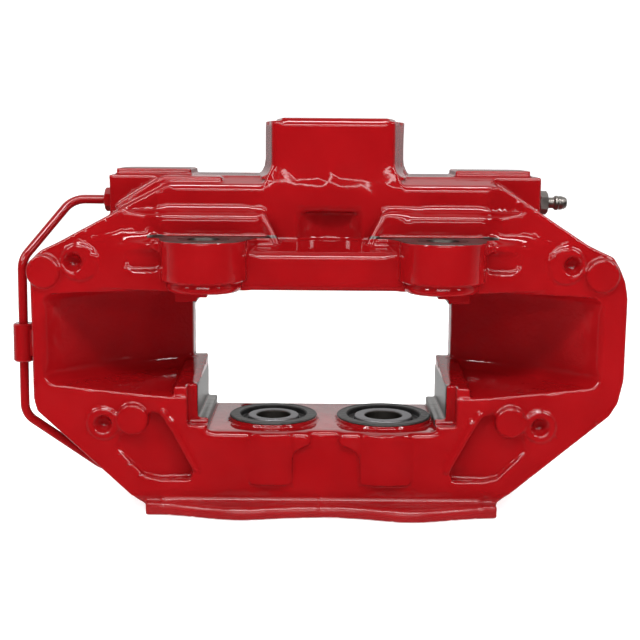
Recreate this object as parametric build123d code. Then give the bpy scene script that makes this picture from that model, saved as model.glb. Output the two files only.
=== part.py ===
from build123d import *
import os

# A fixed, lug-mounted, four-piston brake caliper cast in one piece.
# It is drawn standing on its outboard face, with Z along the disc's axis towards the vehicle, Y radially
# outwards and X along the disc's rim, and moved at the end so that the origin is midway between the two
# mounting holes, on the ears' machined faces.  Millimetres.

# ---- disc and pads, which set the inside of the casting
DISC_AXIS_Y = -105.3
ROTOR_R = 180.0
OUTER_R = 199.0
OUTBOARD_FACE = 45.0
INBOARD_FACE = 124.5
PAD_HALF = 65.9
PAD_FRONT = 8.0
PAD_BACK = 66.0
WINDOW_HALF = 73.5
OUTBOARD_LAND = 69.2
INBOARD_LAND = 112.7

# ---- outside of the casting
LEFT_END = -151.6
RIGHT_END = 158.3
FRONT = 0.0
SLAB_BACK = 20.0
OUTBOARD_BACK = 70.0
INBOARD_BACK = 74.0
TOP = 179.0
BLOCK_LEFT = -113.0
BLOCK_RIGHT = 115.0
UPPER_WALL = 9.0
POCKET_WALL = 4.0
BASE_HALF = 93.3
BASE_THICK = 6.9

# ---- ears
EAR_X = 60.4
EAR_Y = -11.0
EAR_FACE = 148.0
EAR_R = 22.0
EAR_LOW = 127.3
EAR_END_R = 18.8
EAR_END = 121.5
INSERT_R = 12.5
THREAD_R = 7.2

# ---- pistons: name, centre, piston radius, nose radius, open end's radius, boot flange radius
PISTONS = {
    "small": (-26.6, 18.0, 14.0, 9.3, 23.9),
    "large": (34.2, 20.0, 16.0, 10.2, 25.7),
}
PISTON_Y = 31.0
SWELL_R = 32.5
PISTON_LENGTH = 30.0
NOSE_LENGTH = 6.0
COLLAR = 2.2
BORE_DEPTH = 33.0
BORE_GAP = 0.05
SEAL_DEPTH = 7.0
SEAL_HEIGHT = 3.0
SEAL_WIDTH = 3.2
BOOT_WALL = 2.4

# ---- ports and pipe
GALLERY_Y = 32.0
PORT_Z = 165.2
OUTBOARD_PORT_Z = 16.5
PORT_R = 5.0
GALLERY_R = 2.0
PIPE_R = 2.4
PIPE_Y = 10.0
PIPE_HIGH = (-157.6, PIPE_Y, 134.6)
PIPE_LOW = (-158.6, PIPE_Y, 51.8)
CLIP_R = 5.3
CLIP_LENGTH = 20.4
NUT_FLATS = 11.0
NUT_HEAD = 4.2
INLET_X = 6.0
INLET_R = 4.5
PIN_X = 43.0
PIN_Y = 62.5
PIN_R = 3.4

# ---- tower on the inboard side
TOWER_TOP = 207.4
TOWER_PAD = 1.6


def box(x0, x1, y0, y1, z0, z1):
    return Pos((x0 + x1) / 2, (y0 + y1) / 2, (z0 + z1) / 2) * Box(x1 - x0, y1 - y0, z1 - z0)


def upright(x, y, radius, z0, z1):
    return Pos(x, y, (z0 + z1) / 2) * Cylinder(radius, z1 - z0)


def across(y, z, radius, x0, x1):
    return Pos((x0 + x1) / 2, y, z) * Rot(0, 90, 0) * Cylinder(radius, x1 - x0)


def facing(x, z, radius, y0, y1):
    return Pos(x, (y0 + y1) / 2, z) * Rot(90, 0, 0) * Cylinder(radius, y1 - y0)


def front_prism(points, y0, y1):
    """An outline of (x, z) points, run in Y from y0 to y1."""
    wire = Polyline(*[(x, y0, z) for x, z in points], close=True)
    return extrude(make_face(wire), amount=y1 - y0, dir=(0, 1, 0))


def plan_prism(points, z0, z1):
    """An outline of (x, y) points, run in Z from z0 to z1."""
    wire = Polyline(*[(x, y, z0) for x, y in points], close=True)
    return extrude(make_face(wire), amount=z1 - z0, dir=(0, 0, 1))


def side_prism(points, x0, x1):
    """An outline of (y, z) points, run in X from x0 to x1."""
    wire = Polyline(*[(x0, y, z) for y, z in points], close=True)
    return extrude(make_face(wire), amount=x1 - x0, dir=(1, 0, 0))


def turned(points, x, y):
    """A profile of (radius, z) points, turned about the upright axis through x, y."""
    wire = Polyline(*[(r, 0, z) for r, z in points], close=True)
    return Pos(x, y, 0) * revolve(make_face(wire), Axis.Z)


def sides(right, left):
    """One outline from its right-hand and left-hand points, both given from top to bottom."""
    return right + [(-x, z) for x, z in reversed(left)]


def mirrored(shape):
    return shape + shape.mirror(Plane.YZ)


def flip(shape):
    """Turn an outboard piece over, to face it from the inboard side."""
    middle = (OUTBOARD_FACE + INBOARD_FACE) / 2
    return shape.mirror(Plane.XY.offset(middle))


# ---------------------------------------------------------------- casting


def right_end():
    """The rounded right-hand end, from its upper slope to its lower one."""
    return [
        (137, 145), (145.5, 141), (150, 139), (153.6, 133.5), (156.6, 126.5), (RIGHT_END, 118),
        (RIGHT_END, 74), (155.8, 62), (151.7, 55),
    ]


def left_end():
    """The left-hand end, cut back beside the pipe."""
    return [(137, 144.5), (145.5, 140.5), (149, 137.5), (-LEFT_END, 132), (-LEFT_END, 62), (149.8, 55.5)]


def front_slab():
    right = [(91.5, 174.5)] + right_end() + [(94.5, BASE_THICK), (BASE_HALF, 4)]
    left = [(81, 174.5)] + left_end() + [(98, BASE_THICK), (BASE_HALF, 4)]
    slab = front_prism(sides(right, left), FRONT, SLAB_BACK)
    brow = [(UPPER_WALL, 174), (UPPER_WALL, 174.5), (SLAB_BACK, TOP - 1), (SLAB_BACK, 174)]
    rim = [(-108, 163.8), (-83.8, 178.6), (-53, 178.6), (-53, 174), (-80, 174), (-104, 160)]
    setback = plan_prism([(-110, 3), (-106, 3), (-84, 12), (-50, 12), (-50, 20), (-110, 20)], 155, 180)
    return slab + side_prism(brow, -80, 90) + (front_prism(rim, 0, SLAB_BACK) & setback)


def deep_part():
    foot = [(118, 32), (100, 27), (100, 4)]
    right = [(BLOCK_RIGHT, TOP), (BLOCK_RIGHT, 158)] + right_end() + foot
    left = [(-BLOCK_LEFT, TOP), (-BLOCK_LEFT, 158)] + left_end() + foot
    outline = sides(right, left)
    return front_prism(outline, SLAB_BACK, 120)


def envelope():
    """The rim-side surface, with flatter backs on the two halves."""
    rim = upright(0, DISC_AXIS_Y, OUTER_R, -10, 240)
    return rim - box(-110, 110, OUTBOARD_BACK, 120, -10, 70) - box(-110, 110, INBOARD_BACK, 120, 70, 240)


def disc_space():
    """The room swept by the disc, with a little draft on both cheeks."""
    profile = [
        (60, 48), (100, 59), (132, 63.9), (ROTOR_R - 3, 70.2), (ROTOR_R, 74),
        (ROTOR_R, 114), (ROTOR_R - 3, 117.8), (132, 120.5), (60, 122),
    ]
    return turned(profile, 0, DISC_AXIS_Y)


def pad_space():
    window = box(-WINDOW_HALF, WINDOW_HALF, -60, 200, OUTBOARD_LAND, INBOARD_LAND)
    between = box(-PAD_HALF, PAD_HALF, -60, 200, OUTBOARD_FACE, INBOARD_FACE)
    front = box(-71, 71, -60, PAD_FRONT, OUTBOARD_FACE, INBOARD_FACE)
    behind = box(-WINDOW_HALF, WINDOW_HALF, PAD_BACK, 200, OUTBOARD_LAND, INBOARD_FACE - 3)
    return window + between + front + behind


def lands():
    """Pad abutments: a low lug at each corner of the window, with a milled ledge at its foot."""
    rise = [(1, 50), (1, OUTBOARD_LAND), (12, OUTBOARD_LAND), (PAD_BACK, OUTBOARD_LAND + 6), (PAD_BACK, 50)]
    low = side_prism(rise, 71, 78) + (side_prism(rise, PAD_HALF, 78) & box(60, 80, PAD_FRONT, 90, 0, 90))
    low += box(60.5, 68, PAD_FRONT, PAD_BACK - 2, 40, 51)
    low += box(60.5, 72, 0, PAD_FRONT, 40, 48.5)
    high = box(PAD_HALF, 78, PAD_FRONT, PAD_BACK, INBOARD_LAND, 125)
    high += box(60.5, 68, PAD_FRONT, PAD_BACK - 2, 115.4, 125)
    return mirrored(low + high)


def knuckle_plan(wall, half, reach):
    """A recess in the front face: its flat back wall, and slopes at its ends out to the face."""
    return [(-reach, -60), (-reach, 0), (-half, wall), (half, wall), (reach, 0), (reach, -60)]


def ear_zone():
    """Room for the vehicle's knuckle above the ears, stepped back to the upper wall."""
    low, high = knuckle_plan(POCKET_WALL, 82, 92), knuckle_plan(UPPER_WALL, 86, 104)
    shoulder = loft([
        make_face(Polyline(*[(x, y, 159) for x, y in low], close=True)),
        make_face(Polyline(*[(x, y, 161.5) for x, y in high], close=True)),
    ])
    return plan_prism(low, EAR_FACE, 159) + shoulder + plan_prism(high, 161.5, 200)


def ears():
    root = plan_prism(
        [(82.4, -11), (83.5, -5), (96, 4), (96, 15), (34, 15), (34, 0), (38.4, -11)], EAR_LOW, EAR_FACE
    )
    ear = root + upright(EAR_X, EAR_Y, EAR_R, EAR_LOW, EAR_FACE)
    end = upright(EAR_X, EAR_Y, EAR_END_R, EAR_END, EAR_LOW + 1)
    end = chamfer(end.edges().group_by(Axis.Z)[0], 2.0)
    return mirrored(ear + end)


def ear_wall():
    """The thick wall that ties the two ears together, with its sloping ledge."""
    profile = [
        (-9, 123), (-10, 125), (-10, 140), (-8, 141.5), (8, 146), (15, 146), (15, 125),
        (4.5, 125), (4.5, 121), (-6, 121),
    ]
    return side_prism(profile, -46, 46)


def gusset():
    """A wedge from each end of the casting out to its ear, with an oval pocket."""
    wedge = plan_prism([(124, 1), (104, -3.5), (90, -8), (78, -9), (78, 8), (124, 8)], 121, 146)
    pocket = Pos(92, -8.5, 136.5) * Rot(90, 0, 0) * extrude(SlotOverall(20, 11), 5, both=True)
    return mirrored(wedge), mirrored(pocket)


def cylinder_walls():
    """Cylinder walls: the outboard ones swell a little out of the front face."""
    walls = [upright(x, PISTON_Y, SWELL_R, 17, OUTBOARD_FACE) for x, *_ in PISTONS.values()]
    walls += [upright(x, PISTON_Y, r + 7, INBOARD_FACE, 161.5) for x, r, *_ in PISTONS.values()]
    return walls


def valley():
    """The hollow between the ears, above their sloping ledge, and its niche between the cylinders."""
    mouth = [(-24, 141), (24, 141), (32, 158), (32, 162), (-31, 162), (-31, 158)]
    above = [(-20, 141.5), (-8, 141.5), (8, 146), (UPPER_WALL, 146), (UPPER_WALL, 162), (-20, 162)]
    return (front_prism(mouth, -20, 20) & side_prism(above, -40, 40)) + upright(3.4, -5, 22, 146, 160.5)


def outboard_hollows():
    """Shallow pockets in the front face, which run out towards the ends and the foot."""
    corner = [
        (90.7, 55.5), (82.5, 54), (79, 48.6), (67.5, 25), (69.7, 18.6), (86, 18.8), (93.5, 20.7),
        (108.5, 36), (106, 44), (96, 48),
    ]
    floor = plan_prism([(64, -10), (64, 8.3), (110, 0.8), (110, -10)], 0, 60)
    middle = [
        (-6, 50), (-6, 38.5), (-14, 34.5), (-17, 30), (-17, 14), (21, 14), (21, 30), (18, 34.5),
        (9.5, 38.5), (9.5, 50),
    ]
    slope = side_prism([(-10, 8), (-0.2, 8), (0, 14), (3, 36), (3, 51), (-10, 51)], -30, 30)
    return mirrored(front_prism(corner, -10, 9) & floor) + (front_prism(middle, -10, 4) & slope)


def toe():
    """The front face rolls back a little above the foot."""
    return side_prism([(-1, 13), (0, 13), (2.2, BASE_THICK), (2.2, 0), (-1, 0)], -100, 100)


def dimple(x, z):
    return Pos(x, 1, z) * Rot(90, 0, 0) * Cone(2.6, 5.4, 6)


def corner_bosses():
    """Flat round pads and dimpled bosses on the front face."""
    pads = facing(144.3, 129.6, 8.7, -2.8, 6) + facing(99.5, 51.8, 8.2, -2.8, 9)
    rings = facing(125.5, 134.5, 9.6, -1.6, 6) + facing(115, 49.3, 8.4, -1.6, 9)
    return mirrored(pads + rings), mirrored(dimple(128.8, 134.8) + dimple(115, 49.3))


def base():
    """The foot of the casting, whose front edge swells below each cylinder."""
    swell = [
        (-93.3, -3), (-72, -5), (-44, -11), (-22, -8), (0, -6), (22, -8), (46, -13), (72, -8), (93.3, -5),
    ]
    front = Spline(*[(x, y, 0) for x, y in swell])
    back = Polyline((93.3, -5, 0), (93.3, 60, 0), (80, 68, 0), (-80, 68, 0), (-93.3, 60, 0), (-93.3, -3, 0))
    return extrude(make_face([front, back]), amount=BASE_THICK, dir=(0, 0, 1))


def base_hollow():
    """Recess in the underside, round the two cylinder ends."""
    hollow = box(-84, 84, 12, 57, -1, 3)
    return hollow - [upright(x, PISTON_Y, r + 3, -1, 3) for x, r, *_ in PISTONS.values()]


def tower():
    plan = [(-26.8, 10), (36.6, 10), (44.7, 52), (-32.4, 52)]
    wide = [(-31, 9.2), (41, 9.2), (49.5, 56), (-37, 56)]
    stem = plan_prism(plan, 170, TOWER_TOP)
    stem = fillet(stem.edges().filter_by(Axis.Z), 2.5)
    flare = loft([
        make_face(Polyline(*[(x, y, 175) for x, y in wide], close=True)),
        make_face(Polyline(*[(x, y, 184) for x, y in plan], close=True)),
    ])
    pad = plan_prism([(-21.6, 11), (33.6, 11), (39, 48), (-25.6, 48)], TOWER_TOP - 1, TOWER_TOP + TOWER_PAD)
    return stem + flare + pad


def top_pads():
    pad = plan_prism([(70, 23), (109.5, 23), (109.5, 50), (102, 56), (70, 56)], TOP - 1, TOP + 3.2)
    return mirrored(pad)


def collars():
    """A raised rim round each bore, which carries the dust boot."""
    rims = []
    for x, r, nose, cup, flange in PISTONS.values():
        top = OUTBOARD_FACE + COLLAR
        rim = turned([(r - 2, 40), (flange - 3, 40), (flange - 3, OUTBOARD_FACE), (flange + 0.3, top - 0.7),
                      (flange + 0.3, top), (r - 2, top)], x, PISTON_Y)
        rims += [rim, flip(rim)]
    return rims


def bores():
    """Piston bores with their seal grooves and the seats of the dust boots."""
    cuts = []
    for x, r, nose, cup, flange in PISTONS.values():
        wall = r + BORE_GAP
        top = OUTBOARD_FACE + COLLAR + 1
        groove_top = OUTBOARD_FACE - SEAL_DEPTH
        groove = wall + SEAL_WIDTH
        seat = wall + BOOT_WALL + 0.2
        cut = turned([
            (0, OUTBOARD_FACE - BORE_DEPTH), (wall, OUTBOARD_FACE - BORE_DEPTH),
            (wall, groove_top - SEAL_HEIGHT), (groove, groove_top - SEAL_HEIGHT), (groove, groove_top),
            (wall, groove_top), (wall, OUTBOARD_FACE - 2), (seat, OUTBOARD_FACE - 2), (seat, top), (0, top),
        ], x, PISTON_Y)
        cuts += [cut, flip(cut)]
    return cuts


def galleries():
    """Fluid ports and drillings."""
    cuts = [
        across(GALLERY_Y, PORT_Z, GALLERY_R, BLOCK_LEFT, BLOCK_RIGHT),
        across(GALLERY_Y, PORT_Z, PORT_R + 0.05, BLOCK_LEFT - 1, BLOCK_LEFT + 12),
        across(GALLERY_Y, PORT_Z, PORT_R + 0.05, BLOCK_RIGHT - 14, BLOCK_RIGHT + 1),
        across(GALLERY_Y, OUTBOARD_PORT_Z, GALLERY_R, -100, 25),
        across(GALLERY_Y, OUTBOARD_PORT_Z, PORT_R + 0.05, -101, -88),
        upright(INLET_X, GALLERY_Y, GALLERY_R, PORT_Z, TOWER_TOP),
        upright(INLET_X, GALLERY_Y, INLET_R, TOWER_TOP + TOWER_PAD - 15, TOWER_TOP + TOWER_PAD + 1),
        upright(INLET_X, GALLERY_Y, 9.0, TOWER_TOP + TOWER_PAD - 0.8, TOWER_TOP + TOWER_PAD + 1),
    ]
    cuts += [upright(x, GALLERY_Y, GALLERY_R, INBOARD_FACE + 20, PORT_Z) for x, *_ in PISTONS.values()]
    return cuts


def caliper_body():
    body = (front_slab() + deep_part()) & envelope()
    body -= ear_zone()
    wedge, wedge_pocket = gusset()
    bosses, dimples = corner_bosses()
    body += wedge
    body -= disc_space()
    body -= pad_space()
    body = body + ears() + ear_wall() + lands() + cylinder_walls() + collars()
    body -= [valley(), wedge_pocket, outboard_hollows(), toe()]
    body = body + bosses + base() + tower() + top_pads()
    body -= [dimples, base_hollow()]
    body -= bores()
    body -= galleries()
    ear_holes = upright(EAR_X, EAR_Y, INSERT_R, EAR_END - 1, EAR_FACE + 1)
    pin_holes = upright(PIN_X, PIN_Y, PIN_R, -5, 200)
    body -= [mirrored(ear_holes), mirrored(pin_holes)]
    return body


# ---------------------------------------------------------------- pistons, seals and boots


def piston(x, r, nose, cup):
    top = OUTBOARD_FACE + COLLAR + 0.5
    low = top - PISTON_LENGTH
    shoulder = top - NOSE_LENGTH
    profile = [
        (0, low), (r - 1.5, low), (r, low + 1.5), (r, shoulder - 0.8), (r - 0.8, shoulder),
        (nose, shoulder), (nose, shoulder + 2.4), (nose - 0.9, shoulder + 2.4), (nose - 0.9, shoulder + 4.2),
        (nose, shoulder + 4.2), (nose, top - 0.6), (nose - 0.6, top), (cup + 0.5, top), (cup, top - 0.5),
        (cup, low + 7), (0, low + 7),
    ]
    return turned(profile, x, PISTON_Y)


def seal(x, r):
    inner = r + BORE_GAP
    outer = inner + SEAL_WIDTH - 0.05
    high = OUTBOARD_FACE - SEAL_DEPTH - 0.05
    low = OUTBOARD_FACE - SEAL_DEPTH - SEAL_HEIGHT + 0.05
    return turned([(inner, low), (outer, low), (outer, high), (inner, high)], x, PISTON_Y)


def boot(x, r, nose, flange):
    """A flange on the collar, a ring in its seat and a pleat that runs in to the piston's nose."""
    top = OUTBOARD_FACE + COLLAR
    outer = r + BORE_GAP + BOOT_WALL + 0.15
    inner = r + 0.35
    lip = nose + 0.35
    profile = [
        (inner, OUTBOARD_FACE - 1.9), (outer, OUTBOARD_FACE - 1.9), (outer, top + 0.02), (flange, top + 0.02),
        (flange, top + 0.7), (flange - 0.8, top + 1.2), (r - 0.4, top + 1.2), (r - 1.2, top + 0.7),
        (r - 1.2, top - 2.2), (nose + 1.6, top - 2.2), (nose + 1.6, top - 0.9), (lip, top - 0.9),
        (lip, top - 3.3), (r - 0.2, top - 3.3), (inner, top - 3.6),
    ]
    return turned(profile, x, PISTON_Y)


# ---------------------------------------------------------------- pipe, nuts, bleed screw and inserts


def hexagon(flats, x0, x1, y, z):
    blank = Plane.YZ.offset(x0) * RegularPolygon(flats / 2, 6, major_radius=False, rotation=30)
    return Pos(0, y, z) * extrude(blank, x1 - x0)


def pipe_nut(seat, z):
    """A tube nut screwed in from the left: hexagon outside, thread inside the port."""
    head = hexagon(NUT_FLATS, seat - NUT_HEAD, seat - 0.05, GALLERY_Y, z)
    head &= across(GALLERY_Y, z, NUT_FLATS * 0.565, seat - NUT_HEAD, seat)
    thread = across(GALLERY_Y, z, PORT_R, seat - 0.05, seat + 9)
    return head + thread - across(GALLERY_Y, z, PIPE_R + 0.05, seat - 10, seat + 10)


def crossover_pipe():
    inboard = (BLOCK_LEFT + 9.5, GALLERY_Y, PORT_Z)
    outboard = (-90.5, GALLERY_Y, OUTBOARD_PORT_Z)
    route = [
        inboard, (-135, GALLERY_Y, PORT_Z), PIPE_HIGH, PIPE_LOW, (-121, GALLERY_Y, OUTBOARD_PORT_Z), outboard,
    ]
    line = FilletPolyline(*route, radius=12)
    start = Plane(inboard, z_dir=(-1, 0, 0))
    tube = sweep(start * Circle(PIPE_R), path=line)
    bore = sweep(start * Circle(PIPE_R - 0.8), path=line)
    return tube - bore


def pipe_clip():
    """A sleeve round the pipe, with a foot on the casting's left-hand end."""
    high, low = Vector(*PIPE_HIGH), Vector(*PIPE_LOW)
    place = Plane(origin=(high + low) / 2 - Vector(0, 0, 2.4), z_dir=(high - low).normalized())
    sleeve = Cylinder(CLIP_R, CLIP_LENGTH)
    sleeve = chamfer(sleeve.edges().filter_by(GeomType.CIRCLE), 0.8)
    foot = box(PIPE_HIGH[0], LEFT_END - 0.05, PIPE_Y - 3.4, PIPE_Y + 3.4, 84, 98)
    return place * sleeve + foot - place * Cylinder(PIPE_R + 0.05, 60)


def bleed_screw():
    """Cone-ended valve screw with a hexagon and a barbed spout, drilled up its middle."""
    seat = BLOCK_RIGHT
    profile = [
        (0, seat - 13.5), (2.2, seat - 13.5), (PORT_R, seat - 10.5), (PORT_R, seat + 1.3), (3.5, seat + 1.3),
        (3.5, seat + 5), (3.1, seat + 5.2), (3.1, seat + 8.7), (4.1, seat + 9.7), (4.1, seat + 11.4),
        (2.6, seat + 15.9), (1.3, seat + 15.9), (1.3, seat - 6), (0, seat - 6),
    ]
    stem = Pos(0, GALLERY_Y, PORT_Z) * Rot(0, 90, 0) * turned(profile, 0, 0)
    head = hexagon(NUT_FLATS, seat + 1.3, seat + 4.9, GALLERY_Y, PORT_Z)
    head &= across(GALLERY_Y, PORT_Z, NUT_FLATS * 0.565, seat, seat + 6)
    return stem + (head - across(GALLERY_Y, PORT_Z, 2, seat, seat + 20))


def lug_insert(side):
    x = side * EAR_X
    shell = upright(x, EAR_Y, INSERT_R - 0.02, EAR_END + 0.4, EAR_FACE)
    return shell - upright(x, EAR_Y, THREAD_R, EAR_END - 1, EAR_FACE + 1)


# ---------------------------------------------------------------- files


def pieces():
    made = {"caliper_body": caliper_body(), "crossover_pipe": crossover_pipe(), "pipe_clip": pipe_clip()}
    made["pipe_nut_inboard"] = pipe_nut(BLOCK_LEFT, PORT_Z)
    made["pipe_nut_outboard"] = pipe_nut(-100, OUTBOARD_PORT_Z)
    made["bleed_screw"] = bleed_screw()
    made["lug_insert_left"] = lug_insert(-1)
    made["lug_insert_right"] = lug_insert(1)
    for size, (x, r, nose, cup, flange) in PISTONS.items():
        for kind, shape in (
            ("piston", piston(x, r, nose, cup)), ("seal", seal(x, r)), ("boot", boot(x, r, nose, flange)),
        ):
            made[f"outboard_{size}_{kind}"] = shape
            made[f"inboard_{size}_{kind}"] = flip(shape)
    return made


to_frame = Pos(0, -EAR_Y, -EAR_FACE)
os.makedirs("parts", exist_ok=True)
for name, shape in pieces().items():
    export_step(to_frame * shape, f"parts/{name}.step")
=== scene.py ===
"""The look of a fixed four-piston brake caliper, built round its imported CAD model.

The casting is worked in millimetres in the frame of its drawing: Z = 0 is the foot of the casting, Y = 0 its
front plane and X = 0 the middle.  row() turns a point of the drawing into the row frame, in metres.
"""
import math

import bmesh
import bpy
import numpy as np
import openvdb
from mathutils import Matrix, Vector


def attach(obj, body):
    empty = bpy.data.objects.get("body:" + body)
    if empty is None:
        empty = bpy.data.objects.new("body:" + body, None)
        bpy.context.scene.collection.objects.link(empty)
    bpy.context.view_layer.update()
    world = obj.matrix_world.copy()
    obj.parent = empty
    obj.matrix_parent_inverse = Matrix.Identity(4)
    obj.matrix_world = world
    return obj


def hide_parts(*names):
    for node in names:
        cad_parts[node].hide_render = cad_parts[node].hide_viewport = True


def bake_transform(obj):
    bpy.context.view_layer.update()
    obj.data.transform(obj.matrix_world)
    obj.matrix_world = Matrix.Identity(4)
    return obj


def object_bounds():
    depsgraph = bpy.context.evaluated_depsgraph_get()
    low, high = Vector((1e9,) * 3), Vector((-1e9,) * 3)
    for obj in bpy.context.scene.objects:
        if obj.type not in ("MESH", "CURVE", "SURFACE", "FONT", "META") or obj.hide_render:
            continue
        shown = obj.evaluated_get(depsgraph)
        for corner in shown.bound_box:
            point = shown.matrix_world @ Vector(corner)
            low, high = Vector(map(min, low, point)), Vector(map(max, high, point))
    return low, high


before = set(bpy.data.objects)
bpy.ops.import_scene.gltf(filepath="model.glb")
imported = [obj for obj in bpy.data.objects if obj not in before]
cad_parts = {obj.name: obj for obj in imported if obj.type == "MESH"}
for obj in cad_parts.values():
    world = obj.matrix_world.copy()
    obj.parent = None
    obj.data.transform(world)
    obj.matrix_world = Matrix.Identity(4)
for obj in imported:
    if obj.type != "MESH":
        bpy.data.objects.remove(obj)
cad_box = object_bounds()

MM = 0.001
EAR_Y, EAR_FACE = -11.0, 148.0          # the row frame's origin, in the drawing

# driving sizes of the drawing
DISC_AXIS_Y = -105.3
EAR_X, EAR_R, INSERT_R, THREAD_R = 60.4, 22.0, 12.5, 7.2
OUTBOARD_FACE, INBOARD_FACE, COLLAR = 45.0, 124.5, 2.2
PISTON_Y = 31.0
PISTONS = {                              # x, piston radius, nose radius, open end's radius, flange radius
    "small": (-26.6, 18.0, 14.0, 9.3, 23.9),
    "large": (34.2, 20.0, 16.0, 10.2, 25.7),
}
GALLERY_Y, PORT_Z, OUTBOARD_PORT_Z = 32.0, 165.2, 16.5
BLOCK_LEFT, BLOCK_RIGHT, FOOT_PORT_X = -113.0, 115.0, -100.0
NUT_FLATS, PIPE_R = 11.0, 2.4
PIN_X, PIN_Y, PIN_R = 43.0, 62.5, 3.4
TOP = 179.0                              # the top face, from which the tower rises
TOWER_SIDES = ((-26.8, -32.4), (36.6, 44.7))   # x of each side, at y = 10 and y = 52


def row(x, y, z):
    """A point of the drawing in the row frame."""
    return Vector((x * MM, (y - EAR_Y) * MM, (z - EAR_FACE) * MM))


# ---------------------------------------------------------------- fields: solids as grids of signed distance

VOXEL = 0.7                              # the grid's step
BAND = 9                                 # steps either side of the surface that the distances cover
ADAPTIVITY = 0.14                        # how freely flat places use larger faces
FINE_BLUR, SOFT_BLUR = 0.3, 0.6          # rounding of machined and of cast edges
EDGE_FADE = 3.0                          # how far crisp and melted places fade into the rest
WAVE = 0.022                             # height of each of the waves of the cast surface


def smooth_step(t):
    t = np.clip(t, 0, 1)
    return t * t * (3 - 2 * t)


def blurred(values, sigma):
    """A Gaussian blur, with sigma in millimetres."""
    reach = max(1, int(math.ceil(2.6 * sigma / VOXEL)))
    steps = np.arange(-reach, reach + 1)
    weights = np.exp(-0.5 * (steps * VOXEL / sigma) ** 2)
    weights /= weights.sum()
    for axis in range(3):
        padded = np.pad(values, [(reach, reach) if a == axis else (0, 0) for a in range(3)], mode="edge")
        total = np.zeros_like(values)
        for step, weight in zip(steps, weights):
            cut = [slice(None)] * 3
            cut[axis] = slice(reach + step, reach + step + values.shape[axis])
            total += np.float32(weight) * padded[tuple(cut)]
        values = total
    return values


class Field:
    """A solid as a grid of signed distances in millimetres, negative inside."""

    def __init__(self, node):
        mesh = node.data
        points = np.empty(len(mesh.vertices) * 3)
        mesh.vertices.foreach_get("co", points)
        points = points.reshape(-1, 3) / MM + (0, EAR_Y, EAR_FACE)
        mesh.calc_loop_triangles()
        corners = np.empty(len(mesh.loop_triangles) * 3, np.int32)
        mesh.loop_triangles.foreach_get("vertices", corners)
        grid = openvdb.FloatGrid.createLevelSetFromPolygons(
            points.astype(np.float32), triangles=corners.reshape(-1, 3).astype(np.uint32),
            transform=openvdb.createLinearTransform(voxelSize=VOXEL), halfWidth=BAND,
        )
        low, high = grid.evalActiveVoxelBoundingBox()
        self.low = np.array(low) - 4
        self.values = np.full(np.array(high) - low + 9, BAND * VOXEL, np.float32)
        grid.copyToArray(self.values, ijk=tuple(int(i) for i in self.low))
        self.axes = [(np.arange(n) + start) * VOXEL for n, start in zip(self.values.shape, self.low)]

    def cut(self, low, high):
        """The slices of the grid, and its coordinates, inside a box."""
        slices, places = [], []
        for axis, (a, b) in enumerate(zip(low, high)):
            start, stop = np.searchsorted(self.axes[axis], (a, b))
            slices.append(slice(start, stop))
            shape = [1, 1, 1]
            shape[axis] = -1
            places.append(self.axes[axis][start:stop].reshape(shape).astype(np.float32))
        return tuple(slices), places

    def add(self, shape, low, high, soft):
        """Join a shape, a function of x, y and z, on to the solid with a fillet."""
        part, places = self.cut(low, high)
        old, new = self.values[part], shape(*places)
        mix = np.clip(0.5 + 0.5 * (new - old) / soft, 0, 1)
        self.values[part] = new * (1 - mix) + old * mix - soft * mix * (1 - mix)

    def carve(self, shape, low, high, soft):
        """Cut a shape out of the solid with a rounded edge."""
        part, places = self.cut(low, high)
        old, new = self.values[part], -shape(*places)
        mix = np.clip(0.5 + 0.5 * (old - new) / soft, 0, 1)
        self.values[part] = new * (1 - mix) + old * mix + soft * mix * (1 - mix)

    def surface(self):
        """The zero surface as points, faces of three or four corners, and outward normals."""
        grid = openvdb.FloatGrid(BAND * VOXEL)
        grid.copyFromArray(self.values, ijk=tuple(int(i) for i in self.low))
        points, triangles, quads = grid.convertToPolygons(isovalue=0, adaptivity=ADAPTIVITY)
        places = points - self.low
        whole = np.clip(places.astype(int), 0, np.array(self.values.shape) - 2)
        part = places - whole
        normals = np.empty_like(places)
        for axis in range(3):
            slope = np.gradient(self.values, axis=axis)
            total = 0
            for corner in range(8):
                bits = [(corner >> b) & 1 for b in range(3)]
                share = np.prod([part[:, b] if bits[b] else 1 - part[:, b] for b in range(3)], axis=0)
                total = total + share * slope[tuple(whole[:, b] + bits[b] for b in range(3))]
            normals[:, axis] = total
        normals /= np.maximum(np.linalg.norm(normals, axis=1, keepdims=True), 1e-9)
        return points * VOXEL, (triangles, quads), normals


def box_shape(x0, x1, y0, y1, z0, z1, rounding=0.0):
    """A box, as a distance function."""
    def distance(x, y, z):
        gaps = [
            np.abs(v - (a + b) / 2) - ((b - a) / 2 - rounding)
            for v, a, b in ((x, x0, x1), (y, y0, y1), (z, z0, z1))
        ]
        outside = np.sqrt(sum(np.maximum(g, 0) ** 2 for g in gaps))
        inside = np.minimum(np.maximum(np.maximum(gaps[0], gaps[1]), gaps[2]), 0)
        return outside + inside - rounding
    return distance


def round_shape(axis, centre, radius, start, stop, rounding=0.0):
    """A cylinder along an axis (0, 1 or 2), as a distance function."""
    def distance(*places):
        a, b = [places[i] for i in range(3) if i != axis]
        radial = np.sqrt((a - centre[0]) ** 2 + (b - centre[1]) ** 2) - (radius - rounding)
        along = np.abs(places[axis] - (start + stop) / 2) - ((stop - start) / 2 - rounding)
        outside = np.sqrt(np.maximum(radial, 0) ** 2 + np.maximum(along, 0) ** 2)
        return outside + np.minimum(np.maximum(radial, along), 0) - rounding
    return distance


def both(first, second):
    """The part two shapes share, as a distance function."""
    return lambda x, y, z: np.maximum(first(x, y, z), second(x, y, z))


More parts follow.
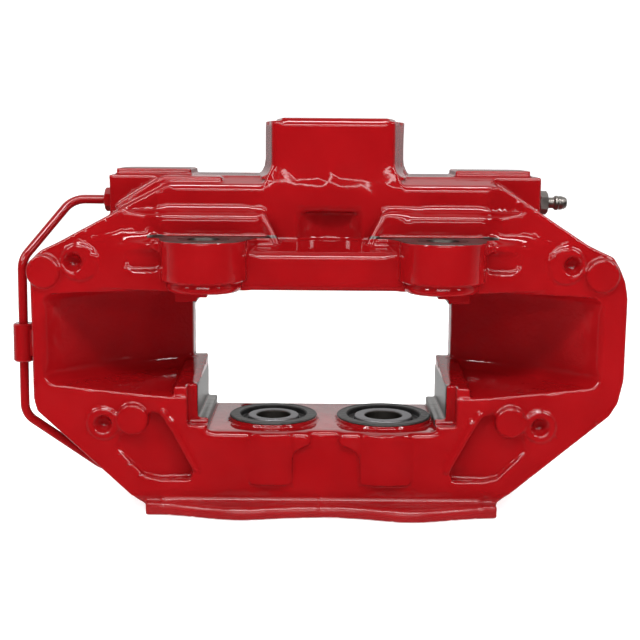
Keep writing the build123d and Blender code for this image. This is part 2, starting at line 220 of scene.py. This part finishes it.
def ring_shape(centre, radius, thick):
    """An upright ring, as a distance function."""
    def distance(x, y, z):
        radial = np.sqrt((x - centre[0]) ** 2 + (y - centre[1]) ** 2) - radius
        return np.sqrt(radial ** 2 + (z - centre[2]) ** 2) - thick
    return distance


def rod_shape(start, stop, r0, r1):
    """A rod between two points, with a radius at each end."""
    a, b = np.array(start, float), np.array(stop, float)
    along = b - a

    def distance(x, y, z):
        share = ((x - a[0]) * along[0] + (y - a[1]) * along[1] + (z - a[2]) * along[2]) / (along @ along)
        share = np.clip(share, 0, 1)
        gap = np.sqrt(
            (x - a[0] - share * along[0]) ** 2 + (y - a[1] - share * along[1]) ** 2
            + (z - a[2] - share * along[2]) ** 2
        )
        return gap - (r0 + share * (r1 - r0))
    return distance


def fillet_shape(side, facing):
    """The filling of the corner between a side of the tower and the top face; side is its x at both ends."""
    radius, front, back = 5.0, 11.0, 51.0

    def distance(x, y, z):
        face = side[0] + (side[1] - side[0]) * (y - 10) / 42
        out, up = (x - face) * facing, z - TOP
        hollow = radius - np.sqrt((out - radius) ** 2 + (up - radius) ** 2)
        limits = [hollow, out - radius, up - radius, -1.5 - out, -1.5 - up, front - y, y - back]
        total = limits[0]
        for limit in limits[1:]:
            total = np.maximum(total, limit)
        return total
    return distance


# ---------------------------------------------------------------- casting


def crisp_zones():
    """Machined or finely cast places, which keep their edges: distance function, low and high corner."""
    zones = []

    def add_box(*limits):
        low, high = limits[0::2], limits[1::2]
        zones.append((box_shape(*limits), np.subtract(low, 4), np.add(high, 4)))

    def add_round(axis, centre, radius, start, stop):
        low, high = list(np.subtract(centre, radius + 4)), list(np.add(centre, radius + 4))
        low.insert(axis, start - 4)
        high.insert(axis, stop + 4)
        zones.append((round_shape(axis, centre, radius, start, stop), low, high))

    for side in (-1, 1):
        add_round(2, (side * EAR_X, EAR_Y), EAR_R + 1, 146.5, 149.5)
        add_round(2, (side * EAR_X, EAR_Y), INSERT_R + 1.5, 119, 150)
        add_round(2, (side * PIN_X, PIN_Y), PIN_R + 1, -2, 182)
        ends = sorted((side * 60, side * 73))
        add_box(*ends, -1, 67, 39, 76)
        add_box(*ends, 7, 67, 111, 123)
    for x, _r, _nose, _cup, flange in PISTONS.values():
        add_round(2, (x, PISTON_Y), flange + 0.5, 10, 50)
        add_round(2, (x, PISTON_Y), flange + 0.5, 116, 155)
    for x, z in ((BLOCK_LEFT, PORT_Z), (BLOCK_RIGHT, PORT_Z), (FOOT_PORT_X, OUTBOARD_PORT_Z)):
        add_round(0, (GALLERY_Y, z), 6.5, x - 3, x + 3)
    add_box(-36, 48, 5, 58, 204, 212)
    for side in (-1, 1):
        pad = sorted((side * 68, side * 112))
        add_box(*pad, 21, 58, 178, 185)
        add_round(2, (side * EAR_X, EAR_Y), EAR_R + 1, 120, 129)
    return zones


def melted_zones():
    """Places with extra soft edges: blur, distance function of (|x|, y, z), low and high corner for |x|."""
    def slot_corner(x, y, z):
        ring = np.sqrt(x ** 2 + (y - DISC_AXIS_Y) ** 2) - 179
        return np.sqrt(ring ** 2 + (z - 71) ** 2) - 3

    return [
        (2.4, box_shape(88, 112, -12, 2, 142, 149), (80, -18, 134), (120, 10, 157)),
        (1.5, box_shape(0, 64, -3, 2.5, 43, 46), (-1, -8, 36), (70, 8, 52)),
        (1.2, box_shape(0, 84, 3, 10, 158, 162), (-1, -2, 152), (90, 16, 168)),
        (1.0, slot_corner, (72, 0, 60), (156, 76, 84)),
        (1.8, box_shape(0, 84, -12, 2, 5, 9), (-1, -18, 0), (92, 8, 16)),
    ]


def rib(field, start, stop, radius, soft):
    """A rounded rib along both sides of the casting; start and stop are for the right-hand one."""
    for side in (-1, 1):
        ends = np.array([start, stop], float) * (side, 1, 1)
        low, high = ends.min(axis=0) - radius - 5, ends.max(axis=0) + radius + 5
        field.add(rod_shape(ends[0], ends[1], radius, radius), low, high, soft)


def cast_details(field):
    """Fillets, ribs, swellings, streaks, notches and ear ends too small for the drawing."""
    for facing, side in zip((-1, 1), TOWER_SIDES):
        field.add(fillet_shape(side, facing), (-40, 8, 172), (54, 54, 190), 0.8)
    rib(field, (31.5, 6.0, 158.5), (24.5, 3.5, 145.5), 2.0, 1.6)
    rib(field, (79.6, 0.6, 49.8), (66.4, 0.6, 25.0), 2.0, 1.4)
    rib(field, (79.6, 0.6, 49.8), (83.2, 0.6, 55.0), 2.0, 1.4)
    curve = 34.0                         # radius of the swellings' fronts
    for x, width, front in ((34.0, 13.2, -3.5), (-26.8, 11.2, -2.6)):
        block = box_shape(x - width, x + width, front - 2, 7, 17, 44.2, 2.2)
        swelling = both(block, round_shape(2, (x, front + curve), curve, 10, 50))
        field.add(swelling, (x - 22, -10, 8), (x + 22, 22, 54), 2.0)
    for start, stop in (((-15, 2.15, 177.6), (-3, 2.15, 178.2)), ((10, 2.15, 178.4), (26, 2.15, 177.0))):
        field.carve(rod_shape(start, stop, 8, 8), (-30, -8, 164), (40, 14, 192), 1.6)
    for side in (-1, 1):
        notch = round_shape(2, (side * 42.6, -9.0), 1.7, 116, 126.5)
        field.carve(notch, (side * 42.6 - 5, -14, 112), (side * 42.6 + 5, -4, 131), 0.5)
        ear = side * EAR_X
        end = ring_shape((ear, EAR_Y, 124.3), 16.8, 2.6)
        field.add(end, (ear - 24, -35, 117), (ear + 24, 13, 131), 0.4)


def cast_waves(field):
    """The slight unevenness of a sand casting, in millimetres."""
    far = 1000                           # past every side of the grid
    x, y, z = field.cut((-far,) * 3, (far,) * 3)[1]
    total = np.zeros(field.values.shape, np.float32)
    for turn, length in enumerate((9.0, 13.0, 19.0, 29.0)):
        step = 2 * math.pi / length
        across = np.sin(step * x + turn) * np.sin(1.13 * step * y + 2 * turn)
        total += across * np.sin(0.87 * step * z + 3 * turn)
    return WAVE * total


def cast_field():
    """The casting with the soft edges of a sand casting, and crisp ones where it is machined."""
    field = Field(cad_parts["caliper_body"])
    fine = blurred(field.values, FINE_BLUR)
    soft = blurred(field.values, SOFT_BLUR)
    keep = np.zeros_like(soft)
    for shape, low, high in crisp_zones():
        part, places = field.cut(low, high)
        share = smooth_step(1 - shape(*places) / EDGE_FADE).astype(np.float32)
        keep[part] = np.maximum(keep[part], share)
    field.values = soft + cast_waves(field) * (1 - keep) + keep * (fine - soft)
    for sigma, shape, low, high in melted_zones():
        for side in (-1, 1):
            xs = sorted((side * low[0], side * high[0]))
            part, (x, y, z) = field.cut((xs[0], *low[1:]), (xs[1], *high[1:]))
            share = smooth_step(1 - shape(np.abs(x), y, z) / EDGE_FADE).astype(np.float32)
            field.values[part] += share * (blurred(field.values[part], sigma) - field.values[part])
    cast_details(field)
    return field


def new_mesh(name, points, face_sets):
    """A smooth-shaded object from points in the drawing's millimetres and arrays of faces."""
    places = (np.asarray(points, float) - (0, EAR_Y, EAR_FACE)) * MM
    face_sets = [np.asarray(faces, np.int32) for faces in face_sets if len(faces)]
    sizes = np.concatenate([np.full(len(faces), faces.shape[1], np.int32) for faces in face_sets])
    mesh = bpy.data.meshes.new(name)
    mesh.vertices.add(len(places))
    mesh.vertices.foreach_set("co", places.ravel())
    mesh.loops.add(int(sizes.sum()))
    mesh.loops.foreach_set("vertex_index", np.concatenate([faces.ravel() for faces in face_sets]))
    mesh.polygons.add(len(sizes))
    mesh.polygons.foreach_set("loop_start", (np.cumsum(sizes) - sizes).astype(np.int32))
    mesh.polygons.foreach_set("use_smooth", np.ones(len(sizes), bool))
    mesh.update(calc_edges=True)
    mesh.validate()
    thing = bpy.data.objects.new(name, mesh)
    bpy.context.scene.collection.objects.link(thing)
    return thing


def casting():
    points, faces, normals = cast_field().surface()
    body = new_mesh("casting_skin", points, faces)
    body.data.normals_split_custom_set_from_vertices(normals)
    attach(body, "casting")
    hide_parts("caliper_body")
    return body


# ---------------------------------------------------------------- turned pieces


def eased(profile, size, closed):
    """A profile with its corners rounded off."""
    points = [np.array(p, float) for p in profile]
    count = len(points)
    smooth = []
    for i, corner in enumerate(points):
        if not closed and i in (0, count - 1):
            smooth.append(corner)
            continue
        before, after = points[i - 1] - corner, points[(i + 1) % count] - corner
        cut = min(size, 0.45 * np.linalg.norm(before), 0.45 * np.linalg.norm(after))
        start = corner + before / np.linalg.norm(before) * cut
        stop = corner + after / np.linalg.norm(after) * cut
        for t in (0, 0.33, 0.67, 1):
            smooth.append((1 - t) ** 2 * start + 2 * t * (1 - t) * corner + t ** 2 * stop)
    return np.array(smooth)


def turned(name, profile, place, steps=120, ease=0.25, closed=True, shape=None):
    """A profile of (radius, height) points turned about an axis.

    place turns (radius direction 1, radius direction 2, height) arrays into the drawing's x, y, z, and
    shape(turn, radius, height) may change the radius and height on the way.
    """
    line = eased(profile, ease, closed)
    turn = np.arange(steps) * 2 * math.pi / steps
    radius, angle = np.meshgrid(line[:, 0], turn, indexing="ij")
    height = np.broadcast_to(line[:, 1:2], radius.shape).copy()
    if shape:
        radius, height = shape(angle, radius, height)
    points = np.stack(place(radius * np.cos(angle), radius * np.sin(angle), height), axis=-1).reshape(-1, 3)
    rows = len(line)
    last = rows if closed else rows - 1
    row_a, column = np.meshgrid(np.arange(last), np.arange(steps), indexing="ij")
    row_b, beside = (row_a + 1) % rows, (column + 1) % steps
    quads = np.stack([
        row_a * steps + column, row_a * steps + beside, row_b * steps + beside, row_b * steps + column,
    ], axis=-1).reshape(-1, 4)
    triangles = np.empty((0, 3), int)
    if not closed:
        ends = np.stack(place(np.zeros(2), np.zeros(2), line[[0, -1], 1]), axis=-1)
        first, second = len(points), len(points) + 1
        points = np.concatenate([points, ends])
        ring = np.arange(steps)
        near = np.stack([np.full(steps, first), (ring + 1) % steps, ring], axis=-1)
        far = (rows - 1) * steps
        away = np.stack([np.full(steps, second), far + ring, far + (ring + 1) % steps], axis=-1)
        triangles = np.concatenate([near, away])
    thing = new_mesh(name, points, (triangles, quads))
    outward(thing.data)
    thing.data.set_sharp_from_angle(angle=math.radians(32))
    return thing


def outward(mesh):
    """Turn the faces the right way out."""
    work = bmesh.new()
    work.from_mesh(mesh)
    bmesh.ops.recalc_face_normals(work, faces=work.faces)
    work.to_mesh(mesh)
    work.free()


def upright_at(x, y, flip=False):
    """Places a turned piece upright at x, y; the inboard ones are turned over."""
    middle = OUTBOARD_FACE + INBOARD_FACE

    def place(a, b, height):
        return x + a, y + b, middle - height if flip else height + 0 * a
    return place


def along_x(z, facing=1):
    """Places a turned piece along X at the height of a port; its flats face the front."""
    def place(a, b, height):
        return facing * height + 0 * a, GALLERY_Y + a, z + b
    return place


def hexagonal(turn, radius, height):
    """Cuts a round head to six flats."""
    reach = NUT_FLATS / 2 / np.cos((turn + math.pi / 6) % (math.pi / 3) - math.pi / 6)
    return np.minimum(radius, reach), height


def bleed_valve():
    seat = BLOCK_RIGHT
    profile = [
        (1.3, seat - 3), (4.9, seat - 3), (4.9, seat + 1.2), (5.7, seat + 1.2), (6.5, seat + 1.8),
        (6.5, seat + 4.9), (5.3, seat + 5.5), (3.2, seat + 5.6), (2.9, seat + 6.4), (2.9, seat + 8.6),
        (3.3, seat + 9.2), (3.9, seat + 9.7), (3.9, seat + 11.0), (3.5, seat + 11.5), (3.75, seat + 12.1),
        (3.6, seat + 13.4), (2.9, seat + 15.3), (2.2, seat + 15.9), (1.3, seat + 15.9),
    ]
    piece = turned("bleed_valve", profile, along_x(PORT_Z), steps=96, ease=0.2, shape=hexagonal)
    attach(piece, "bleed_screw")
    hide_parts("bleed_screw")
    return piece


def tube_nut(name, node, seat, z):
    out = -seat
    profile = [
        (PIPE_R + 0.04, out - 3), (4.9, out - 3), (4.9, out + 0.1), (5.9, out + 0.1), (6.5, out + 0.6),
        (6.5, out + 3.5), (5.6, out + 4.1), (3.6, out + 4.2), (PIPE_R + 0.5, out + 4.9),
        (PIPE_R + 0.04, out + 4.9),
    ]
    piece = turned(name, profile, along_x(z, facing=-1), steps=96, ease=0.3, shape=hexagonal)
    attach(piece, "casting")
    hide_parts(node)
    return piece


def thread_ring(side):
    """A threaded steel insert: chamfered mouth, and thread crests down its bore."""
    low, pitch = EAR_FACE - 26, 2.0
    profile = [(INSERT_R - 0.05, low), (INSERT_R - 0.05, EAR_FACE - 0.1), (THREAD_R + 1.4, EAR_FACE - 0.1)]
    z = EAR_FACE - 1.5
    while z > low + pitch:
        profile += [(THREAD_R + 0.9, z), (THREAD_R, z - pitch * 0.45), (THREAD_R, z - pitch * 0.55)]
        z -= pitch
    profile.append((THREAD_R + 0.9, low))
    word = "left" if side < 0 else "right"
    piece = turned(f"thread_ring_{word}", profile, upright_at(side * EAR_X, EAR_Y), steps=96, ease=0.15)
    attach(piece, "casting")
    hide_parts(f"lug_insert_{word}")
    return piece


def dust_boot(half, size):
    """The flange on the casting's collar, and the pleat from it in to the piston's nose."""
    x, radius, nose, _cup, flange = PISTONS[size]
    top = OUTBOARD_FACE + COLLAR
    place = upright_at(x, PISTON_Y, half == "inboard")

    def ribbed(turn, r, height):
        band = smooth_step((r - radius - 1.2) / 0.8) * smooth_step((flange - 1.1 - r) / 0.8)
        ribs = smooth_step(np.cos(turn * 30) * 1.5 - 0.4)
        return r, height + 0.22 * band * ribs * (height > top + 0.5)

    bore, outside, inside_wall = radius + 0.55, radius + 0.48, radius + 0.1
    body = turned(f"{half}_{size}_boot_flange", [
        (bore, top - 3.8), (radius + 2.5, top - 3.8), (radius + 2.5, top + 0.02), (flange, top + 0.02),
        (flange + 0.1, top + 0.7), (flange - 0.7, top + 1.25), (flange - 1.3, top + 0.85),
        (radius + 1.6, top + 1.05), (radius + 1.1, top + 1.25), (bore, top + 1.0),
    ], place, steps=180, ease=0.25, shape=ribbed)
    wall = [(outside, top + 0.7 - 0.3 * i) for i in range(9)]
    fold = [(inside_wall, top - 2.7), (radius - 0.8, top - 3.0), (nose + 0.9, top - 3.0)]
    lip = [(nose + 0.2, top - 2.7), (nose + 0.2, top - 1.5), (nose + 0.8, top - 1.3), (nose + 1.1, top - 2.0)]
    back = [(radius - 0.5, top - 2.1)] + [(inside_wall, top - 1.7 + 0.3 * i) for i in range(9)]
    pleat = turned(
        f"{half}_{size}_boot_pleat", wall + fold + lip + back, place, steps=96, ease=0.12,
    )
    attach(body, "casting")
    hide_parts(f"{half}_{size}_boot")
    start, stop = (row(*place(0, 0, top + lift)) for lift in (0.4, -2.6))
    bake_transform(pleat)
    return body, pleat


def piston(half, size):
    """A turned cup with a groove round its nose."""
    x, radius, nose, cup, _flange = PISTONS[size]
    top = OUTBOARD_FACE + COLLAR + 0.5
    low, shoulder = top - 30, top - 6
    profile = [
        (0.5, low), (radius - 1.5, low), (radius, low + 1.5), (radius, shoulder - 0.8),
        (radius - 0.8, shoulder), (nose, shoulder), (nose, shoulder + 2.4), (nose - 0.9, shoulder + 2.4),
        (nose - 0.9, shoulder + 4.2),
        (nose, shoulder + 4.2), (nose, top - 0.5), (nose - 0.5, top), (cup + 0.7, top), (cup, top - 0.7),
        (cup, low + 8), (cup - 1, low + 7), (0.5, low + 7),
    ]
    piece = turned(
        f"{half}_{size}_piston_skin", profile, upright_at(x, PISTON_Y, half == "inboard"), closed=False,
    )
    cup_shade = piece.data.attributes.new("cup_shade", "FLOAT", "POINT")   # 1 down the open end, whose hollow is painted near-black as shade
    for vertex, share in zip(piece.data.vertices, cup_shade.data):
        across = vertex.co - row(x, PISTON_Y, 0)
        share.value = 1.0 if math.hypot(across.x, across.y) < (cup + 0.2) * MM else 0.0
    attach(piece, f"{half}_{size}_piston")
    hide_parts(f"{half}_{size}_piston")
    return piece


# ---------------------------------------------------------------- materials


class Nodes:
    """A material's node tree, built a node at a time."""

    def __init__(self, name):
        self.material = bpy.data.materials.new(name)
        self.material.use_nodes = True
        self.tree = self.material.node_tree
        self.shader = self.tree.nodes["Principled BSDF"]

    def add(self, kind, **settings):
        node = self.tree.nodes.new(kind)
        for key, value in settings.items():
            setattr(node, key, value)
        return node

    def link(self, source, target):
        self.tree.links.new(source, target)

    def put(self, node, **values):
        for key, value in values.items():
            node.inputs[key.replace("_", " ")].default_value = value
        return node

    def place(self, scale):
        """Object coordinates at so many cells to the metre."""
        where = self.add("ShaderNodeTexCoord")
        node = self.add("ShaderNodeMapping")
        node.inputs["Scale"].default_value = scale if isinstance(scale, tuple) else (scale,) * 3
        self.link(where.outputs["Object"], node.inputs["Vector"])
        return node.outputs["Vector"]

    def noise(self, scale, detail=3.0, roughness=0.5):
        node = self.add("ShaderNodeTexNoise")
        self.put(node, Scale=1.0, Detail=detail, Roughness=roughness)
        self.link(self.place(scale), node.inputs["Vector"])
        return node.outputs["Fac"]

    def math(self, operation, first, second=0.0):
        """A sum on two numbers; the first is a socket, the second a number or a socket."""
        node = self.add("ShaderNodeMath", operation=operation)
        self.link(first, node.inputs[0])
        if isinstance(second, (int, float)):
            node.inputs[1].default_value = second
        else:
            self.link(second, node.inputs[1])
        return node.outputs[0]

    def range(self, value, low, high, to_low, to_high):
        node = self.add("ShaderNodeMapRange")
        for index, number in enumerate((low, high, to_low, to_high), start=1):
            node.inputs[index].default_value = number
        self.link(value, node.inputs[0])
        return node.outputs[0]

    def blend(self, share, first, second):
        """A colour mix; first and second are colours or sockets."""
        node = self.add("ShaderNodeMix", data_type="RGBA")
        self.link(share, node.inputs["Factor"])
        for socket, value in ((node.inputs[6], first), (node.inputs[7], second)):
            if isinstance(value, tuple):
                socket.default_value = value
            else:
                self.link(value, socket)
        return node.outputs[2]

    def mix(self, share, first, second):
        """A number mix; first and second are numbers or sockets."""
        node = self.add("ShaderNodeMix", data_type="FLOAT")
        self.link(share, node.inputs["Factor"])
        for socket, value in ((node.inputs[2], first), (node.inputs[3], second)):
            if isinstance(value, (int, float)):
                socket.default_value = value
            else:
                self.link(value, socket)
        return node.outputs[0]

    def bump(self, height, strength, distance, before=None):
        node = self.add("ShaderNodeBump")
        self.put(node, Strength=strength, Distance=distance)
        self.link(height, node.inputs["Height"])
        if before is not None:
            self.link(before, node.inputs["Normal"])
        return node.outputs["Normal"]

    def finish(self, **sockets):
        for key, value in sockets.items():
            socket = self.shader.inputs[key.replace("_", " ")]
            if isinstance(value, bpy.types.NodeSocket):
                self.link(value, socket)
            else:
                socket.default_value = value
        return self.material


RED = (0.246, 0.0036, 0.0052, 1)
RED_DARK = (0.218, 0.0028, 0.0042, 1)
STEEL = (0.42, 0.41, 0.40, 1)
BARE_BOXES = {                           # machined, unpainted places: low and high corners, for |x|
    "ear": ((0, -40, 147.55), (EAR_X + 30, 3.2, 149)),
    "cheek": ((65.2, 8.4, 51.4), (66.7, 65.4, 69.1)),
    "ledge": ((60.0, 8.4, 46.5), (68.3, 63.4, 51.3)),
    "high_cheek": ((65.2, 8.4, 113.2), (66.7, 65.4, 124)),
    "high_ledge": ((59.5, 8.4, 112.5), (68.3, 63.4, 115.8)),
}


def inside(n, low, high):
    """1 inside a box given in the drawing's millimetres, for |x|, and 0 outside."""
    where = n.add("ShaderNodeTexCoord")
    split = n.add("ShaderNodeSeparateXYZ")
    n.link(where.outputs["Object"], split.inputs[0])
    sides = [n.math("ABSOLUTE", split.outputs[0]), split.outputs[1], split.outputs[2]]
    low, high = row(*low), row(*high)
    share = None
    for axis in range(3):
        for name, limit in (("GREATER_THAN", low[axis]), ("LESS_THAN", high[axis])):
            test = n.math(name, sides[axis], limit)
            share = test if share is None else n.math("MULTIPLY", share, test)
    return share


def within(n, radius):
    """1 nearer than a radius, in millimetres, to the axis of the brake disc, and 0 farther."""
    where = n.add("ShaderNodeTexCoord")
    flat = n.add("ShaderNodeVectorMath", operation="MULTIPLY")
    n.link(where.outputs["Object"], flat.inputs[0])
    flat.inputs[1].default_value = (1, 1, 0)
    gap = n.add("ShaderNodeVectorMath", operation="DISTANCE")
    n.link(flat.outputs[0], gap.inputs[0])
    gap.inputs[1].default_value = row(0, DISC_AXIS_Y, EAR_FACE)
    return n.math("LESS_THAN", gap.outputs["Value"], radius * MM)


def red_paint(name, casting=False):
    """Glossy stove enamel over a sand casting; the casting's machined faces stay bare."""
    n = Nodes(name)
    cloud = n.noise(35, 2.0)
    colour = n.blend(n.range(cloud, 0.35, 0.65, 0, 1), RED, RED_DARK)
    peel = n.bump(n.noise(700, 2.0), 0.03, 0.0003)
    peel = n.bump(n.noise(160, 3.0), 0.07, 0.0007, peel)
    rough = n.range(n.noise(120, 2.0), 0.3, 0.7, 0.045, 0.09)
    if not casting:
        return n.finish(Base_Color=colour, Roughness=rough, Normal=peel, Specular_IOR_Level=0.5)
    rough = n.mix(inside(n, (0, -20, -1), (100, 3, 9.5)), rough, 0.26)
    slot = n.math("MULTIPLY", inside(n, (76, 10, 79), (144, 90, 117)), within(n, 183))
    grit = n.noise(480, 3.0, 0.6)
    peel = n.bump(n.mix(slot, n.noise(1, 0.0), grit), 0.5, 0.0009, peel)
    bare = None
    for low, high in BARE_BOXES.values():
        part = inside(n, low, high)
        bare = part if bare is None else n.math("MAXIMUM", bare, part)
    grain = n.noise((60, 900, 900), 3.0)
    metal = n.blend(n.range(grain, 0.3, 0.7, 0, 1), (0.13, 0.125, 0.12, 1), (0.27, 0.26, 0.25, 1))
    ear = inside(n, *BARE_BOXES["ear"])
    metal = n.blend(ear, metal, (0.10, 0.09, 0.085, 1))
    return n.finish(
        Base_Color=n.blend(bare, colour, metal), Roughness=n.mix(bare, rough, 0.36),
        Metallic=n.mix(bare, 0.0, 1.0), Normal=peel, Specular_IOR_Level=0.5,
    )


def steel(name, colour=STEEL, rough=0.34, scale=(300, 300, 300), hollow_shade=None):
    """Turned or zinc-plated steel with fine marks; its last argument, if given, is a painted shade colour for
    the inside of a hollow piece.
    """
    n = Nodes(name)
    grain = n.noise(scale, 3.0)
    dark = tuple(c * 0.72 for c in colour[:3]) + (1,)
    shade = n.blend(n.range(grain, 0.3, 0.7, 0, 1), dark, colour)
    if hollow_shade:
        # painted shade: the hollow inside of the piece takes a near-black colour
        cup_shade = n.add("ShaderNodeAttribute", attribute_name="cup_shade")
        shade = n.blend(cup_shade.outputs["Fac"], shade, hollow_shade)
    spread = n.range(grain, 0.3, 0.7, rough - 0.06, rough + 0.08)
    return n.finish(
        Base_Color=shade, Metallic=1.0, Roughness=spread, Normal=n.bump(grain, 0.1, 0.0002),
    )


def rubber(name, colour=(0.018, 0.018, 0.019, 1)):
    """Matte moulded rubber with a little dust."""
    n = Nodes(name)
    cloud = n.noise(240, 4.0)
    dusty = tuple(c * 2.6 for c in colour[:3]) + (1,)
    shade = n.blend(n.range(cloud, 0.4, 0.75, 0, 1), colour, dusty)
    return n.finish(
        Base_Color=shade, Roughness=n.range(cloud, 0.3, 0.7, 0.42, 0.6),
        Normal=n.bump(n.noise(1500, 2.0), 0.12, 0.0003),
    )


def wear(thing, material):
    thing.data.materials.clear()
    thing.data.materials.append(material)


# ---------------------------------------------------------------- camera, floor and lights


LENS, SENSOR = 64.6875, 36.0             # millimetres
CAMERA_DOWN, CAMERA_ROLL = 9.0, 0.45     # degrees
CAMERA_PLACE = (-1.25, -590, 198.8)      # in the drawing


def camera():
    """The camera in front of the caliper and a little above it, looking slightly down."""
    data = bpy.data.cameras.new("camera")
    data.sensor_width = SENSOR
    data.lens = LENS
    data.clip_start, data.clip_end = 0.01, 50
    thing = bpy.data.objects.new("camera", data)
    down = Matrix.Rotation(math.radians(90 - CAMERA_DOWN), 4, "X")
    roll = Matrix.Rotation(math.radians(CAMERA_ROLL), 4, "Z")
    thing.matrix_world = Matrix.Translation(row(*CAMERA_PLACE)) @ down @ roll
    bpy.context.scene.collection.objects.link(thing)
    bpy.context.scene.camera = thing


def area_light(name, place, target, width, height, power):
    data = bpy.data.lights.new(name, "AREA")
    data.shape = "RECTANGLE"
    data.size, data.size_y, data.energy = width, height, power
    thing = bpy.data.objects.new(name, data)
    thing.location = place
    aim = Vector(target) - Vector(place)
    thing.rotation_euler = aim.to_track_quat("-Z", "Y").to_euler()
    bpy.context.scene.collection.objects.link(thing)


def backdrop(level):
    """A floor that curves up into a wall well behind the caliper."""
    reach, bend, height, steps = 1.6, 1.0, 3.0, 16
    line = [(-6.0, 0.0), (reach, 0.0)]
    for step in range(1, steps + 1):
        turn = math.pi / 2 * step / steps
        line.append((reach + bend * math.sin(turn), bend * (1 - math.cos(turn))))
    line.append((reach + bend, height))
    points = [(side * 6.0, y, level + z) for y, z in line for side in (-1, 1)]
    faces = [(i, i + 1, i + 3, i + 2) for i in range(0, 2 * len(line) - 2, 2)]
    mesh = bpy.data.meshes.new("floor")
    mesh.from_pydata(points, [], faces)
    mesh.polygons.foreach_set("use_smooth", [True] * len(faces))
    floor = bpy.data.objects.new("floor", mesh)
    bpy.context.scene.collection.objects.link(floor)
    return floor


def studio():
    """A pale floor in a pale room whose camera side is darker, and soft boxes above and beside."""
    scene = bpy.context.scene
    scene.view_settings.view_transform = "Standard"
    world = bpy.data.worlds.new("room")
    scene.world = world
    world.use_nodes = True
    tree = world.node_tree
    background = tree.nodes["Background"]
    where = tree.nodes.new("ShaderNodeTexCoord")
    split = tree.nodes.new("ShaderNodeSeparateXYZ")
    tree.links.new(where.outputs["Generated"], split.inputs[0])
    level = tree.nodes.new("ShaderNodeMath")
    level.operation = "ABSOLUTE"
    tree.links.new(split.outputs["Z"], level.inputs[0])
    ways = []
    for source, limits in (
        (split.outputs["Y"], (-0.35, 0.6, 0.02, 0.95)), (level.outputs[0], (0.02, 0.22, 0.30, 1.0)),
    ):
        way = tree.nodes.new("ShaderNodeMapRange")
        for index, number in enumerate(limits, start=1):
            way.inputs[index].default_value = number
        tree.links.new(source, way.inputs[0])
        ways.append(way.outputs[0])
    product = tree.nodes.new("ShaderNodeMath")
    product.operation = "MULTIPLY"
    tree.links.new(ways[0], product.inputs[0])
    tree.links.new(ways[1], product.inputs[1])
    eye = tree.nodes.new("ShaderNodeLightPath")
    mix = tree.nodes.new("ShaderNodeMix")
    tree.links.new(eye.outputs["Is Camera Ray"], mix.inputs["Factor"])
    tree.links.new(product.outputs[0], mix.inputs[2])
    mix.inputs[3].default_value = 1.0
    tree.links.new(mix.outputs[0], background.inputs["Strength"])
    background.inputs["Color"].default_value = (1, 1, 1, 1)

    foot = cad_box[0][2]
    floor = backdrop(foot - 0.0004)
    n = Nodes("floor_paper")
    tone = n.blend(n.noise(3, 2.0), (0.90, 0.90, 0.90, 1), (0.93, 0.93, 0.93, 1))
    wear(floor, n.finish(
        Base_Color=tone, Roughness=0.75, Emission_Color=(1, 1, 1, 1), Emission_Strength=0.62,
    ))
    floor.visible_glossy = False

    area_light("key", (0.0, -0.80, 1.15), (0, 0, -0.05), 1.1, 0.20, 15)
    area_light("front", (0.0, -1.45, 0.62), (0, 0, -0.05), 1.0, 0.10, 5)
    area_light("low", (0.0, -1.60, 0.30), (0, 0, -0.05), 1.2, 0.05, 1.6)
    area_light("left", (-0.95, -0.75, 0.80), (0, 0, -0.05), 0.2, 0.6, 8)
    area_light("right", (0.95, -0.75, 0.80), (0, 0, -0.05), 0.2, 0.6, 8)


# ---------------------------------------------------------------- scene


def main():
    camera()
    studio()
    wear(casting(), red_paint("casting_paint", casting=True))
    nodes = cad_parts
    paint = red_paint("pipe_paint")
    wear(nodes["crossover_pipe"], paint)
    wear(nodes["pipe_clip"], paint)
    wear(tube_nut("tube_nut_high", "pipe_nut_inboard", BLOCK_LEFT, PORT_Z), paint)
    wear(tube_nut("tube_nut_low", "pipe_nut_outboard", FOOT_PORT_X, OUTBOARD_PORT_Z), paint)
    wear(bleed_valve(), steel("zinc", (0.30, 0.275, 0.255, 1), 0.36))
    insert = steel("insert_steel", (0.06, 0.055, 0.05, 1), 0.42)
    for side in (-1, 1):
        wear(thread_ring(side), insert)
    # the pistons' cups are painted near-black inside, as shade in the hollow
    piston_steel = steel("piston_steel", (0.27, 0.27, 0.28, 1), 0.52, hollow_shade=(0.05, 0.045, 0.04, 1))
    boot_rubber = rubber("boot_rubber", (0.022, 0.022, 0.021, 1))
    # the pleat is the boot's own rubber, painted darker as shade in the groove round the piston
    pleat_rubber_shaded = rubber("pleat_rubber_shaded", (0.006, 0.006, 0.006, 1))
    seal_rubber = rubber("seal_rubber", (0.012, 0.012, 0.012, 1))
    for half in ("outboard", "inboard"):
        for size in PISTONS:
            wear(piston(half, size), piston_steel)
            body, pleat = dust_boot(half, size)
            wear(body, boot_rubber)
            wear(pleat, pleat_rubber_shaded)
            wear(nodes[f"{half}_{size}_seal"], seal_rubber)


main()
